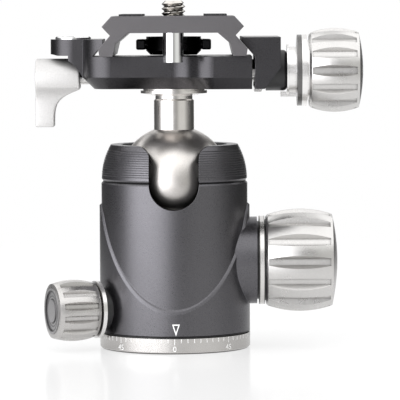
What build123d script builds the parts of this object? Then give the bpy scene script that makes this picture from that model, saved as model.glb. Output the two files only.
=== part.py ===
"""Tripod ball head with a panning base, a drop notch and a dovetail clamp with its plate.

Millimetres, +Z up. The origin is the centre of the base's underside, on the pan axis.
The drop notch faces -Y and the two big knobs face +X.
"""

import os
from math import cos, hypot, radians, sin, sqrt, tan

from build123d import *

os.makedirs("parts", exist_ok=True)

# ---------------------------------------------------------------- driving dimensions
# fits
running_gap = 0.05  # a shaft or ball in its bearing
slide_gap = 0.10  # a pin or block in its guide
seat_gap = 0.02  # a piece pressed or screwed into its seat
face_gap = 0.10  # two flat faces that pass each other
open_gap = 0.30  # a gap left open round a moving piece

# panning base
base_height = 4.1
base_chamfer = 0.5
bearing_height = 0.4
bearing_inset = 0.6
bearing_width = 4.0
washer_play = 0.05
spindle_radius = 11.0
spindle_top_gap = 0.4
spindle_groove_depth = 0.8
mounting_thread_radius = 3.97
mounting_thread_depth = 11.0
clip_height = 1.0
clip_width = 2.4
clip_opening = 6.0

# housing
body_wall = 4.5
shield_step = 0.55
bore_margin = 0.1  # of the bore round the ball's cavity
rim_rise = 10.1  # of the rim above the ball's centre
crown_height = 9.0
arch_ridge_rise = 1.2  # of the arch's sharp ridge above the ring groove
arch_slope = 1.72
arch_tip_radius = 6.7
arch_bevel = 0.45
ring_groove_width = 1.3
ring_groove_depth = 0.5
crown_step = 0.1
rim_inset = 3.1
rib_count = 12
rib_foot_margin = 0.9
rib_rim_margin = 1.39
rib_depth = 0.16
rib_half_width = 0.26
rib_run_out = 0.3
mouth_drop = 1.6
mouth_flare_inset = 2.7
notch_clearance = 1.2
notch_corner_radius = 3.1
carrier_height = 12.4
carrier_pocket_height = 2.4
carrier_pocket_radius = 13.6

# ball, its seats and its lock
ball_radius = 15.0
cup_floor = 3.2
cavity_gap = 0.4
upper_seat_rise = 1.9
upper_seat_height = 4.0
liner_thickness = 0.8
liner_radius = 9.0
cup_rise = 1.9
cup_rim_drop = 8.1
wedge_half_length = 11.0
wedge_half_width = 6.0
wedge_slope = 6.0
wedge_floor_height = 0.6
lock_axis_rise = 5.5
lock_screw_radius = 2.5
lock_screw_inner_end = 4.0
lock_screw_seat = 12.0
lock_boss_radius = 11.6
lock_boss_rise = 1.9
lock_boss_root = 3.0  # of the boss inside the bore's wall
lock_seal_radius = 10.4
lock_seal_width = 0.5
lock_washer_radius = 11.8
lock_washer_width = 1.5
lock_slip_radius = 10.8
lock_slip_width = 0.3
lock_knob_length = 19.1
lock_knob_edge = 12.2
lock_knob_crown = 13.65
lock_knob_dome = 1.4
lock_flute_length = 16.4
lock_flute_turn = -1.4

# flutes, common to the three knobs
flute_count = 14
flute_floor = 1.5
flute_opening = 33.0
flute_sink = 0.15
knob_edge = 0.5
knob_flat = 2.0

# pan lock
pan_axis_turn = 20.5
pan_screw_radius = 2.0
pan_brake_radius = 3.0
pan_brake_length = 4.0
pan_bush_radius = 5.6
pan_bush_length = 2.6
pan_collar_radius = 7.6
pan_collar_width = 1.0
pan_collar_rise = 1.6
pan_knob_length = 12.0
pan_knob_edge = 7.2
pan_knob_crown = 8.1
pan_knob_dome = 0.3
pan_flute_length = 9.4
pan_flute_floor = 1.0
pan_flute_turn = 12.9
pan_cap_radius = 6.0
pan_cap_depth = 1.2
pan_cap_ring = 0.35

# neck and stem
neck_radius = 5.33
neck_length = 7.15
neck_chamfer = 0.35
throat_radius = 4.95
throat_height = 0.85
flange_radius = 8.87
flange_height = 1.4
flange_edge = 0.7
stem_radius = 5.0
stem_shoulder_rise = 5.1
stem_washer_radius = 7.2
stem_washer_height = 0.8
stem_bolt_radius = 2.5
stem_bolt_head_radius = 4.25
stem_bolt_head_height = 2.2
stem_bolt_depth = 12.0
hex_socket_width = 4.0
thrust_radius = 8.2
thrust_height = 0.5

# clamp
clamp_thickness = 8.6
clamp_lip = 4.5
clamp_half_depth = 18.0
clamp_recess = 6.0
clamp_right = 20.6
clamp_left = 24.1
clamp_chamfer = 3.1
recess_right = 7.6
ramp_width = 4.6
clamp_corner = 7.5
clamp_recess_corner = 6.0
dovetail_clearance = 0.12
fixed_lip_rise = 3.2
ear_centre = 26.7
ear_radius = 6.0
ear_thickness = 4.3
hollow_x = 33.9
hollow_drop = 1.65
hollow_radius = 10.9
level_ring_radius = 4.75
level_ring_wall = 0.6
level_ring_height = 0.7
level_depth = 2.6

# lever of the clamp's pan lock
lever_axis_rise = 2.6
lever_end = 36.7
lever_hub_radius = 5.4
lever_hub_face = 24.9
lever_arm_length = 12.8
lever_arm_inner = 31.9
lever_arm_half_width = 4.2
lever_web_height = 3.8
lever_web_top = 2.0
lever_web_drop = 1.4
lever_root_radius = 4.0
lever_toe_radius = 1.2
lever_edge = 0.4
lever_screw_radius = 1.5
lever_screw_start = 13.0
brake_pin_radius = 2.0

# moving jaw and its knob
jaw_gap = 0.75
jaw_right = 28.05
jaw_height = 13.5
hook_lip_drop = 1.0
jaw_under_chamfer = 4.2
jaw_under_height = 5.6
clamp_axis_rise = 4.6
clamp_screw_radius = 3.0
clamp_screw_start = 9.0
guide_pin_spacing = 22.0
guide_pin_radius = 1.5
guide_pin_start = 9.0
jaw_spring_radius = 2.4
jaw_spring_length = 6.0
keeper_width = 1.8
keeper_height = 1.1
keeper_half_depth = 4.0
sleeve_radius = 5.4
sleeve_length = 2.0
sleeve_sink = 3.6
sleeve_shoulder = 1.0
collar_radius = 6.3
collar_length = 2.6
collar_flange_radius = 6.9
collar_flange_width = 0.5
tab_half_width = 2.6
tab_thickness = 1.3
tab_drop = 0.65
shade_ring_radius = 9.45
shade_ring_width = 1.2
shine_ring_radius = 9.5
shine_ring_width = 1.4
spacer_radius = 8.0
spacer_width = 0.6
clamp_screw_seat = 10.0
clamp_knob_length = 14.4
clamp_knob_edge = 10.0
clamp_knob_crown = 11.15
clamp_knob_dome = 1.2
clamp_flute_length = 11.8

# quick release plate
plate_length = 50.0
plate_gap = 0.2
plate_foot_half = 19.0
plate_heel_half = 19.3
plate_heel_rise = 1.95
plate_waist_half = 16.25
plate_waist_rise = 5.4
plate_tip_half = 18.4
plate_tip_rise = 7.7
plate_top_half = 15.9
plate_thickness = 10.4
window_height = 6.06
window_ceiling_half = 11.6
window_leg_half = 14.8
window_leg_rise = 3.3
window_foot_half = 15.6
pad_inner = 8.0
pad_outer = 14.0
pad_length = 44.0
pad_height = 0.5
pad_recess = 0.6
camera_screw_radius = 3.175
camera_screw_rise = 4.0
camera_screw_chamfer = 0.5
camera_shank_radius = 2.45
camera_slot_length = 16.0
camera_head_radius = 7.3
camera_head_gap = 0.1
camera_head_height = 4.8
camera_head_chamfer = 1.1
ring_pivot_radius = 1.25
ring_width = 2.5
ring_thickness = 2.8
ring_edge = 0.5
ring_arm = 3.0
ring_heel = 1.4
ring_half_width = 8.72
ring_drop = 2.1
stop_pin_radius = 2.6
stop_pin_shank = 1.5
stop_pin_reach = 1.6
stop_pin_offset = 21.3

# ---------------------------------------------------------------- values worked out
housing_bottom = base_height + bearing_height
carrier_bottom = housing_bottom + face_gap
carrier_top = carrier_bottom + carrier_height
clip_bottom = carrier_top - carrier_pocket_height + face_gap
spindle_height = carrier_top - spindle_top_gap
pan_axis_height = carrier_bottom + carrier_height / 2
wedge_bottom = carrier_top + wedge_floor_height
lock_axis_height = wedge_bottom + lock_axis_rise
cup_bottom = lock_axis_height + cup_rise
seat_radius = ball_radius + running_gap
liner_outer = seat_radius + liner_thickness
cup_seat_radius = liner_outer + running_gap
ball_height = cup_bottom + cup_floor + cup_seat_radius
cup_top = ball_height - cup_rim_drop
cavity_radius = ball_radius + cavity_gap
bore_radius = cavity_radius + bore_margin
body_radius = bore_radius + body_wall
base_radius = body_radius
shield_radius = body_radius - shield_step
rim_radius = body_radius - rim_inset
mouth_flare_radius = rim_radius - mouth_flare_inset
lock_boss_reach = body_radius + lock_boss_rise
pan_collar_reach = body_radius + pan_collar_rise
upper_seat_bottom = ball_height + upper_seat_rise
upper_seat_top = upper_seat_bottom + upper_seat_height
housing_top = ball_height + rim_rise
mouth_height = housing_top - mouth_drop
crown_foot = shield_radius - crown_step
crown_start = housing_top - crown_height
crown_drop = crown_foot - rim_radius
crown_arc = (crown_height**2 + crown_drop**2) / (2 * crown_drop)
ring_groove_height = crown_start - ring_groove_width
rib_first_height = crown_start + rib_foot_margin
rib_pitch = (housing_top - rib_rim_margin - rib_first_height) / (rib_count - 1)
neck_base = ball_height + sqrt(ball_radius**2 - neck_radius**2)
notch_half_width = neck_radius + notch_clearance
neck_top = ball_height + ball_radius + neck_length
throat_top = neck_top + throat_height
flange_top = throat_top + flange_height
thrust_top = flange_top + thrust_height
clamp_bottom = thrust_top + face_gap
stem_washer_bottom = clamp_bottom + stem_shoulder_rise
clamp_deck = clamp_bottom + clamp_thickness
clamp_top = clamp_deck + clamp_lip
fixed_lip_height = clamp_deck + fixed_lip_rise
ear_bottom = clamp_top - ear_thickness
hollow_z = clamp_bottom - hollow_drop
lever_axis_height = clamp_bottom + lever_axis_rise
lever_arm_bottom = lever_axis_height - lever_arm_length
jaw_left = clamp_right + jaw_gap
jaw_bottom = clamp_bottom + face_gap
jaw_top = jaw_bottom + jaw_height
hook_lip_height = jaw_top - hook_lip_drop
clamp_axis_height = clamp_bottom + clamp_axis_rise
plate_foot_bottom = clamp_deck + plate_gap
plate_heel_height = plate_foot_bottom + plate_heel_rise
plate_waist_height = plate_foot_bottom + plate_waist_rise
plate_tip_height = plate_foot_bottom + plate_tip_rise
plate_top = plate_foot_bottom + plate_thickness
window_leg_height = plate_foot_bottom + window_leg_rise
window_ceiling = plate_foot_bottom + window_height
camera_thread_start = plate_top + face_gap
camera_screw_top = plate_top + camera_screw_rise
camera_head_bottom = plate_foot_bottom + camera_head_gap
camera_head_top = camera_head_bottom + camera_head_height
ring_height = camera_head_top - ring_drop
stop_pin_bottom = plate_foot_bottom - stop_pin_reach

Z_UP = (Align.CENTER, Align.CENTER, Align.MIN)


# ---------------------------------------------------------------- shared shapes
def arc_point(radius, height, centre_height):
    """Distance from the Z axis of a circle about (0, centre_height), at a height."""
    return sqrt(radius**2 - (height - centre_height) ** 2)


def across(x_start, height):
    """Plane across an axis that runs along +X at a height, starting at x_start."""
    return Plane(origin=(x_start, 0, height), x_dir=(0, 1, 0), z_dir=(1, 0, 0))


def disc(plane, radius, width, hole=0.0):
    """Round disc, washer or rod that rises from a plane along its normal."""
    with BuildPart() as body:
        with BuildSketch(plane):
            Circle(radius)
            if hole > 0:
                Circle(hole, mode=Mode.SUBTRACT)
        extrude(amount=width)
    return body.part


def knob(plane, length, edge_radius, crown_radius, dome, flute_length, floor, turn, bore, bore_depth):
    """Crowned hand knob that rises from a plane, with flutes cut down to flat floors."""
    side = Plane(origin=plane.origin, x_dir=plane.z_dir, z_dir=plane.x_dir)
    shoulder = length - dome
    dome_arc = (edge_radius**2 + dome**2) / (2 * dome)
    dome_middle = (edge_radius + knob_flat) / 2
    flute_height = crown_radius - edge_radius + 1.0
    flare = flute_height * tan(radians(flute_opening))
    flute = [
        (0, -floor / 2),
        (flute_height, -floor / 2 - flare),
        (flute_height, floor / 2 + flare),
        (0, floor / 2),
    ]
    with BuildPart() as body:
        with BuildSketch(side):
            with BuildLine():
                Line((0, 0), (0, edge_radius - knob_edge))
                Line((0, edge_radius - knob_edge), (knob_edge, edge_radius))
                ThreePointArc((knob_edge, edge_radius), (shoulder / 2, crown_radius), (shoulder, edge_radius))
                ThreePointArc(
                    (shoulder, edge_radius),
                    (length - dome_arc + arc_point(dome_arc, dome_middle, 0), dome_middle),
                    (length - dome_arc + arc_point(dome_arc, knob_flat, 0), knob_flat),
                )
                Polyline(
                    (length - dome_arc + arc_point(dome_arc, knob_flat, 0), knob_flat),
                    (length - dome_arc + arc_point(dome_arc, knob_flat, 0), 0),
                    (0, 0),
                )
            make_face()
        revolve(axis=Axis(side.origin, side.x_dir))
        with BuildSketch(plane.offset((shoulder - flute_length) / 2)):
            with PolarLocations(edge_radius - flute_sink, flute_count, start_angle=turn):
                Polygon(*flute, align=None)
        extrude(amount=flute_length, mode=Mode.SUBTRACT)
        with BuildSketch(plane):
            Circle(bore)
        extrude(amount=bore_depth, mode=Mode.SUBTRACT)
    return body.part


def finish(part, name):
    """Name a finished piece and write its file."""
    part.label = name
    export_step(part, f"parts/{name}.step")


# ---------------------------------------------------------------- panning base
with BuildPart() as base_ring:
    Cylinder(base_radius, base_height, align=Z_UP)
    chamfer(base_ring.edges().group_by(Axis.Z)[0], base_chamfer)
    Cylinder(spindle_radius + seat_gap, base_height, align=Z_UP, mode=Mode.SUBTRACT)
finish(base_ring.part, "base_ring")

# The spindle carries the tripod thread, and the clip's groove near its top
with BuildPart() as pan_spindle:
    Cylinder(spindle_radius, spindle_height, align=Z_UP)
    with BuildSketch(Plane.XY.offset(clip_bottom)):
        Circle(spindle_radius)
        Circle(spindle_radius - spindle_groove_depth, mode=Mode.SUBTRACT)
    extrude(amount=clip_height, mode=Mode.SUBTRACT)
    Cylinder(mounting_thread_radius, mounting_thread_depth, align=Z_UP, mode=Mode.SUBTRACT)
finish(pan_spindle.part, "pan_spindle")

bearing_outer = base_radius - bearing_inset
finish(
    disc(Plane.XY.offset(base_height), bearing_outer, bearing_height - washer_play, bearing_outer - bearing_width),
    "pan_bearing",
)

# Spring clip that keeps the housing on the spindle, open at one side
with BuildPart() as pan_clip:
    clip_inner = spindle_radius - spindle_groove_depth + running_gap
    with BuildSketch(Plane.XY.offset(clip_bottom + seat_gap)):
        Circle(clip_inner + clip_width)
        Circle(clip_inner, mode=Mode.SUBTRACT)
        with Locations((0, clip_inner)):
            Rectangle(clip_opening, 3 * clip_width, mode=Mode.SUBTRACT)
    extrude(amount=clip_height - 2 * seat_gap)
finish(pan_clip.part, "pan_clip")

# ---------------------------------------------------------------- housing
pan_heading = radians(pan_axis_turn)
pan_plane = Plane(
    origin=(0, 0, pan_axis_height),
    x_dir=(sin(pan_heading), -cos(pan_heading), 0),
    z_dir=(-cos(pan_heading), -sin(pan_heading), 0),
)


def crown_radius_at(height):
    """Outer radius of the curved band under the rim."""
    return crown_foot - crown_arc + arc_point(crown_arc, height, crown_start)


with BuildPart() as arch_roof:
    # two slopes and a round ridge: what lies above them is set back
    ridge = ring_groove_height + arch_ridge_rise
    eaves = 1.25 * body_radius
    with BuildSketch(Plane.YZ.offset(-eaves)):
        with BuildLine():
            FilletPolyline(
                (-eaves, ridge - arch_slope * eaves),
                (0, ridge),
                (eaves, ridge - arch_slope * eaves),
                radius=arch_tip_radius,
            )
            Line((eaves, ridge - arch_slope * eaves), (-eaves, ridge - arch_slope * eaves))
        make_face()
    extrude(amount=2 * eaves)

with BuildPart() as shield_cut:
    Cylinder(body_radius + 1, ring_groove_height, align=Z_UP)
    Cylinder(shield_radius, ring_groove_height, align=Z_UP, mode=Mode.SUBTRACT)
    add(arch_roof.part, mode=Mode.SUBTRACT)
    with Locations((0, 0, -1)):
        Cylinder(body_radius + 2, housing_bottom + 1, align=Z_UP, mode=Mode.SUBTRACT)

ring_groove_middle = ring_groove_height + ring_groove_width / 2

with BuildPart() as housing:
    with BuildSketch(Plane.XZ):
        with BuildLine():
            Polyline(
                (0, housing_bottom),
                (body_radius, housing_bottom),
                (body_radius, ring_groove_height - 1),
                (shield_radius, ring_groove_height - 1),
                (shield_radius, ring_groove_height),
                (shield_radius - ring_groove_depth, ring_groove_middle),
                (crown_foot, crown_start),
            )
            crown_middle = (crown_start + housing_top) / 2
            ThreePointArc(
                (crown_foot, crown_start),
                (crown_radius_at(crown_middle), crown_middle),
                (rim_radius, housing_top),
            )
            Polyline((rim_radius, housing_top), (0, housing_top), (0, housing_bottom))
        make_face()
    revolve(axis=Axis.Z)
    add(shield_cut.part, mode=Mode.SUBTRACT)
    arch_edges = housing.edges().filter_by(GeomType.LINE, reverse=True).filter_by(
        lambda edge: edge.bounding_box().size.Z > 1
        and min(hypot(edge.position_at(t).X, edge.position_at(t).Y) for t in (0, 0.3, 0.7, 1))
        > body_radius - 0.01
    )
    chamfer(arch_edges, arch_bevel)
    # fine ribs turned into the band under the rim
    with BuildSketch(Plane.XZ):
        for rib in range(rib_count):
            rib_height = rib_first_height + rib * rib_pitch
            rib_radius = crown_radius_at(rib_height)
            Polygon(
                (rib_radius + rib_run_out, rib_height - rib_half_width),
                (rib_radius + rib_run_out, rib_height + rib_half_width),
                (rib_radius - rib_depth, rib_height),
                align=None,
            )
    revolve(axis=Axis.Z, mode=Mode.SUBTRACT)
    # boss of the main lock
    with BuildSketch(across(bore_radius - lock_boss_root, lock_axis_height)):
        Circle(lock_boss_radius)
    extrude(amount=lock_boss_reach - bore_radius + lock_boss_root)
    # bore for the carrier, the cup and the ball, closing round the ball at the top
    with BuildSketch(Plane.XZ):
        with BuildLine():
            seat_corner = arc_point(cavity_radius, upper_seat_top, ball_height)
            mouth_radius = arc_point(cavity_radius, mouth_height, ball_height)
            cavity_middle = (upper_seat_top + mouth_height) / 2
            Polyline(
                (0, housing_bottom),
                (bore_radius, housing_bottom),
                (bore_radius, upper_seat_top),
                (seat_corner, upper_seat_top),
            )
            ThreePointArc(
                (seat_corner, upper_seat_top),
                (arc_point(cavity_radius, cavity_middle, ball_height), cavity_middle),
                (mouth_radius, mouth_height),
            )
            Polyline(
                (mouth_radius, mouth_height),
                (mouth_flare_radius, housing_top),
                (0, housing_top),
                (0, housing_bottom),
            )
        make_face()
    revolve(axis=Axis.Z, mode=Mode.SUBTRACT)
    # drop notch with rounded shoulders
    with BuildSketch(Plane.XZ):
        with BuildLine():
            shoulder_height = housing_top - notch_corner_radius
            shoulder_half = notch_half_width + notch_corner_radius
            bend = notch_corner_radius * (1 - sqrt(0.5))
            ThreePointArc(
                (-notch_half_width, ball_height),
                (0, ball_height - notch_half_width),
                (notch_half_width, ball_height),
            )
            Line((notch_half_width, ball_height), (notch_half_width, shoulder_height))
            ThreePointArc(
                (notch_half_width, shoulder_height),
                (notch_half_width + bend, housing_top - bend),
                (shoulder_half, housing_top),
            )
            Polyline(
                (shoulder_half, housing_top),
                (shoulder_half, housing_top + 1),
                (-shoulder_half, housing_top + 1),
                (-shoulder_half, housing_top),
            )
            ThreePointArc(
                (-shoulder_half, housing_top),
                (-notch_half_width - bend, housing_top - bend),
                (-notch_half_width, shoulder_height),
            )
            Line((-notch_half_width, shoulder_height), (-notch_half_width, ball_height))
        make_face()
    extrude(amount=body_radius + 1, mode=Mode.SUBTRACT)
    # holes of the lock screw and the pan brake
    with BuildSketch(across(bore_radius - lock_boss_root, lock_axis_height)):
        Circle(lock_screw_radius + running_gap)
    extrude(amount=lock_boss_reach, mode=Mode.SUBTRACT)
    with BuildSketch(pan_plane.offset(bore_radius - lock_boss_root)):
        Circle(pan_brake_radius + running_gap)
    extrude(amount=body_radius, mode=Mode.SUBTRACT)
finish(housing.part, "housing")

# Carrier screwed into the housing from below: it turns on the spindle
with BuildPart() as bearing_carrier:
    with Locations((0, 0, carrier_bottom)):
        Cylinder(bore_radius - seat_gap, carrier_height, align=Z_UP)
        Cylinder(spindle_radius + running_gap, carrier_height, align=Z_UP, mode=Mode.SUBTRACT)
    with Locations((0, 0, clip_bottom - face_gap)):
        Cylinder(carrier_pocket_radius, carrier_height, align=Z_UP, mode=Mode.SUBTRACT)
    with BuildSketch(pan_plane.offset(spindle_radius - 2)):
        Circle(pan_brake_radius + running_gap)
    extrude(amount=body_radius, mode=Mode.SUBTRACT)
finish(bearing_carrier.part, "bearing_carrier")

# Steel disc on the carrier: the wedge slides on it
wedge_floor_bottom = carrier_top + seat_gap
finish(
    disc(Plane.XY.offset(wedge_floor_bottom), bore_radius - seat_gap, wedge_floor_height - 2 * seat_gap),
    "wedge_floor",
)

# ---------------------------------------------------------------- ball seats and lock
with BuildPart() as upper_seat:
    with Locations((0, 0, upper_seat_bottom)):
        Cylinder(bore_radius - seat_gap, upper_seat_height - seat_gap, align=Z_UP)
    with Locations((0, 0, ball_height)):
        Sphere(seat_radius, mode=Mode.SUBTRACT)
    with BuildSketch(Plane.XZ):
        with Locations((0, ball_height)):
            Rectangle(2 * notch_half_width, housing_top - ball_height, align=(Align.CENTER, Align.MIN))
    extrude(amount=body_radius, mode=Mode.SUBTRACT)
finish(upper_seat.part, "upper_ball_seat")

wedge_rise = tan(radians(wedge_slope))
wedge_middle_top = cup_bottom + 2.2


def wedge_top(x):
    """Height of the wedge's sloping top, which rises towards +X."""
    return wedge_middle_top + x * wedge_rise


with BuildPart() as lower_cup:
    with Locations((0, 0, cup_bottom)):
        Cylinder(bore_radius - slide_gap, cup_top - cup_bottom, align=Z_UP)
    with Locations((0, 0, ball_height)):
        Sphere(cup_seat_radius, mode=Mode.SUBTRACT)
    # sloping slot in the underside, over the wedge
    slot_reach = bore_radius + 1
    with BuildSketch(Plane.XZ.offset(-wedge_half_width - slide_gap)):
        Polygon(
            (-slot_reach, cup_bottom - 1),
            (slot_reach, cup_bottom - 1),
            (slot_reach, wedge_top(slot_reach) + seat_gap),
            (-slot_reach, wedge_top(-slot_reach) + seat_gap),
            align=None,
        )
    extrude(amount=2 * (wedge_half_width + slide_gap), mode=Mode.SUBTRACT)
finish(lower_cup.part, "lower_cup")

# Thin spherical liner between the cup and the ball
with BuildPart() as cup_liner:
    with BuildSketch(Plane.XZ):
        with BuildLine():
            liner_edge_in = ball_height - arc_point(seat_radius, liner_radius, 0)
            liner_edge_out = ball_height - arc_point(liner_outer, liner_radius, 0)
            half = liner_radius / 2
            Line((0, ball_height - liner_outer), (0, ball_height - seat_radius))
            ThreePointArc(
                (0, ball_height - seat_radius),
                (half, ball_height - arc_point(seat_radius, half, 0)),
                (liner_radius, liner_edge_in),
            )
            Line((liner_radius, liner_edge_in), (liner_radius, liner_edge_out))
            ThreePointArc(
                (liner_radius, liner_edge_out),
                (half, ball_height - arc_point(liner_outer, half, 0)),
                (0, ball_height - liner_outer),
            )
        make_face()
    revolve(axis=Axis.Z)
finish(cup_liner.part, "cup_liner")

with BuildPart() as lock_wedge:
    with BuildSketch(Plane.XZ.offset(-wedge_half_width)):
        Polygon(
            (-wedge_half_length, wedge_bottom),
            (wedge_half_length, wedge_bottom),
            (wedge_half_length, wedge_top(wedge_half_length)),
            (-wedge_half_length, wedge_top(-wedge_half_length)),
            align=None,
        )
    extrude(amount=2 * wedge_half_width)
    with BuildSketch(across(-wedge_half_length, lock_axis_height)):
        Circle(lock_screw_radius + slide_gap)
    extrude(amount=2 * wedge_half_length, mode=Mode.SUBTRACT)
finish(lock_wedge.part, "lock_wedge")

lock_washer_start = lock_boss_reach + lock_seal_width
lock_slip_start = lock_washer_start + lock_washer_width + washer_play
lock_knob_start = lock_slip_start + lock_slip_width
lock_bore = lock_screw_radius + running_gap
lock_screw_tip = -lock_screw_inner_end
lock_screw_end = lock_knob_start + lock_screw_seat
finish(
    disc(across(lock_boss_reach, lock_axis_height), lock_seal_radius, lock_seal_width, lock_bore),
    "lock_seal_ring",
)
finish(
    disc(across(lock_washer_start, lock_axis_height), lock_washer_radius, lock_washer_width, lock_bore),
    "lock_washer",
)
finish(
    disc(across(lock_slip_start, lock_axis_height), lock_slip_radius, lock_slip_width, lock_bore),
    "lock_slip_ring",
)
finish(
    disc(across(lock_screw_tip, lock_axis_height), lock_screw_radius, lock_screw_end - lock_screw_tip),
    "lock_screw",
)
finish(
    knob(
        across(lock_knob_start, lock_axis_height),
        lock_knob_length,
        lock_knob_edge,
        lock_knob_crown,
        lock_knob_dome,
        lock_flute_length,
        flute_floor,
        lock_flute_turn,
        lock_screw_radius + seat_gap,
        lock_screw_end - lock_knob_start + seat_gap,
    ),
    "lock_knob",
)

# ---------------------------------------------------------------- pan lock
pan_brake_start = spindle_radius + running_gap
pan_screw_start = pan_brake_start + pan_brake_length + seat_gap
pan_bush_start = pan_collar_reach - pan_bush_length
pan_knob_start = pan_collar_reach + pan_collar_width + face_gap
pan_cap_start = pan_knob_start + pan_knob_length - pan_cap_depth
pan_screw_end = pan_cap_start - 2.0

# brake shoe, its tip hollowed to the spindle
with BuildPart() as pan_brake:
    with BuildSketch(pan_plane.offset(pan_brake_start - 1)):
        Circle(pan_brake_radius)
    extrude(amount=pan_brake_length + 1)
    Cylinder(pan_brake_start, spindle_height, align=Z_UP, mode=Mode.SUBTRACT)
finish(pan_brake.part, "pan_brake_shoe")

# bush pressed on the round housing, behind the collar
with BuildPart() as pan_bush:
    with BuildSketch(pan_plane.offset(pan_bush_start)):
        Circle(pan_bush_radius)
        Circle(pan_screw_radius + running_gap, mode=Mode.SUBTRACT)
    extrude(amount=pan_bush_length)
    Cylinder(body_radius + seat_gap, housing_top, align=Z_UP, mode=Mode.SUBTRACT)
finish(pan_bush.part, "pan_bush")

finish(
    disc(pan_plane.offset(pan_collar_reach), pan_collar_radius, pan_collar_width, pan_screw_radius + running_gap),
    "pan_collar",
)
finish(
    disc(pan_plane.offset(pan_screw_start), pan_screw_radius, pan_screw_end - pan_screw_start),
    "pan_lock_screw",
)

with BuildPart() as pan_knob:
    add(
        knob(
            pan_plane.offset(pan_knob_start),
            pan_knob_length,
            pan_knob_edge,
            pan_knob_crown,
            pan_knob_dome,
            pan_flute_length,
            pan_flute_floor,
            pan_flute_turn,
            pan_screw_radius + seat_gap,
            pan_screw_end - pan_knob_start + seat_gap,
        )
    )
    with BuildSketch(pan_plane.offset(pan_cap_start)):
        Circle(pan_cap_radius + seat_gap)
    extrude(amount=2 * pan_cap_depth, mode=Mode.SUBTRACT)
finish(pan_knob.part, "pan_knob")

# cap in the knob's end, with a raised ring and a raised centre
with BuildPart() as pan_cap:
    with BuildSketch(pan_plane.offset(pan_cap_start)):
        Circle(pan_cap_radius)
    extrude(amount=pan_cap_depth - pan_cap_ring)
    with BuildSketch(pan_plane.offset(pan_cap_start + pan_cap_depth - pan_cap_ring)):
        Circle(pan_cap_radius)
        Circle(0.86 * pan_cap_radius, mode=Mode.SUBTRACT)
        Circle(0.5 * pan_cap_radius)
    extrude(amount=pan_cap_ring)
finish(pan_cap.part, "pan_knob_cap")

# ---------------------------------------------------------------- ball and stem
bolt_tip = neck_base - stem_bolt_depth
bolt_hole = stem_bolt_radius + seat_gap
bolt_head_bottom = stem_washer_bottom + stem_washer_height

with BuildPart() as ball:
    with Locations((0, 0, ball_height)):
        Sphere(ball_radius)
    with Locations((0, 0, neck_base)):
        Cylinder(ball_radius, ball_radius, align=Z_UP, mode=Mode.SUBTRACT)
    with Locations((0, 0, bolt_tip - seat_gap)):
        Cylinder(bolt_hole, ball_radius, align=Z_UP, mode=Mode.SUBTRACT)
finish(ball.part, "ball")

with BuildPart() as neck_sleeve:
    with Locations((0, 0, neck_base)):
        Cylinder(neck_radius, neck_top - neck_base, align=Z_UP)
    chamfer(neck_sleeve.edges().group_by(Axis.Z)[-1], neck_chamfer)
    with Locations((0, 0, neck_base)):
        Cylinder(bolt_hole, neck_top - neck_base, align=Z_UP, mode=Mode.SUBTRACT)
finish(neck_sleeve.part, "neck_sleeve")

# throat, flange and the stem that the clamp turns on, in one turned piece
with BuildPart() as stem_flange:
    with BuildSketch(Plane.XZ):
        with BuildLine():
            Polyline(
                (bolt_hole, neck_top),
                (throat_radius, neck_top),
                (throat_radius, throat_top),
                (flange_radius, flange_top - flange_edge),
                (flange_radius, flange_top),
                (stem_radius, flange_top),
                (stem_radius, stem_washer_bottom),
                (bolt_hole, stem_washer_bottom),
                (bolt_hole, neck_top),
            )
        make_face()
    revolve(axis=Axis.Z)
finish(stem_flange.part, "stem_flange")

finish(
    disc(Plane.XY.offset(flange_top), thrust_radius, thrust_top - flange_top, stem_radius + running_gap),
    "stem_thrust_washer",
)
finish(
    disc(Plane.XY.offset(stem_washer_bottom), stem_washer_radius, stem_washer_height, bolt_hole),
    "stem_washer",
)

with BuildPart() as stem_bolt:
    with Locations((0, 0, bolt_tip)):
        Cylinder(stem_bolt_radius, bolt_head_bottom - bolt_tip, align=Z_UP)
    with Locations((0, 0, bolt_head_bottom)):
        Cylinder(stem_bolt_head_radius, stem_bolt_head_height, align=Z_UP)
    with BuildSketch(Plane.XY.offset(bolt_head_bottom + stem_bolt_head_height)):
        RegularPolygon(hex_socket_width / 2, 6, major_radius=False)
    extrude(amount=-0.7 * stem_bolt_head_height, mode=Mode.SUBTRACT)
finish(stem_bolt.part, "stem_bolt")


# ---------------------------------------------------------------- clamp
grip_slope = (plate_heel_half - plate_waist_half) / (plate_waist_height - plate_heel_height)


def grip_half(height):
    """Half width of the jaws' sloping faces, just clear of the plate's dovetail."""
    clearance = dovetail_clearance * sqrt(1 + grip_slope**2)
    return plate_heel_half + clearance + (plate_heel_height - height) * grip_slope


def behind(half_depth):
    """Plane behind the middle, facing -Y, for profiles that are extruded through it."""
    return Plane.XZ.offset(-half_depth)


recess_half = clamp_half_depth - clamp_recess
ramp_left = recess_right - ramp_width
body_depth = clamp_top - clamp_bottom
fixed_lip_half = grip_half(fixed_lip_height)
guide_ys = (-guide_pin_spacing / 2, guide_pin_spacing / 2)
spring_start = clamp_right - jaw_spring_length

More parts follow.
